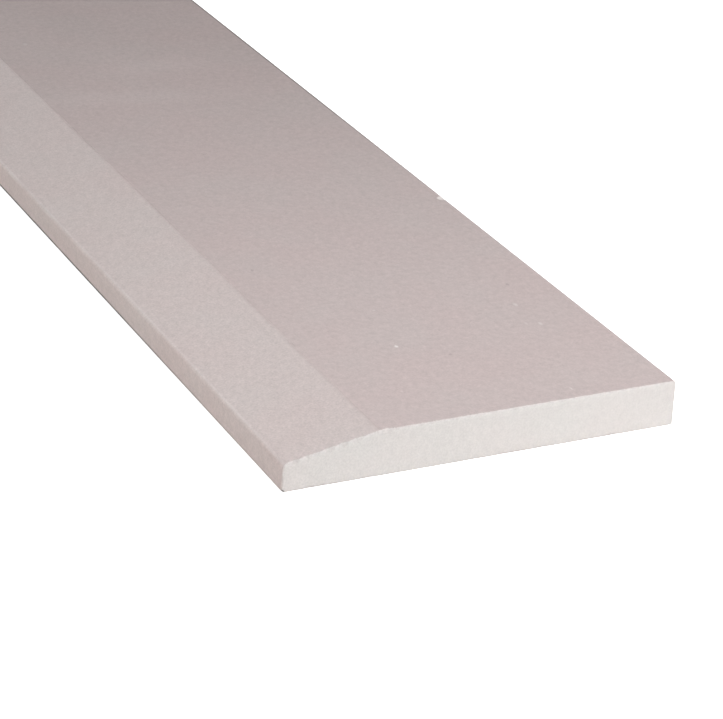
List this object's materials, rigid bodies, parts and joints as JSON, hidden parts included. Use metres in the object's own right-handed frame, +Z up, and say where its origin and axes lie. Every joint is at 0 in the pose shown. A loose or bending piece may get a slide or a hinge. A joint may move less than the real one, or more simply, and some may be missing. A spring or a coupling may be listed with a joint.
{
  "type": "marble threshold",
  "caption": "Long flat marble door threshold with a wide bevel down to a low upright nose along one long edge; it bridges two floors in a doorway.",
  "frame": {"origin": "middle of the sawn underside, on the floor plane", "axes": "+X along the length, from jamb to jamb; +Y across, from the bevelled nose to the square back edge; +Z up"},
  "size_m": [0.9144, 0.1396, 0.0159],
  "materials": {
    "marble": "satin"
  },
  "bodies": {
    "root": {"threshold_slab": "marble"}
  },
  "joints": []
}
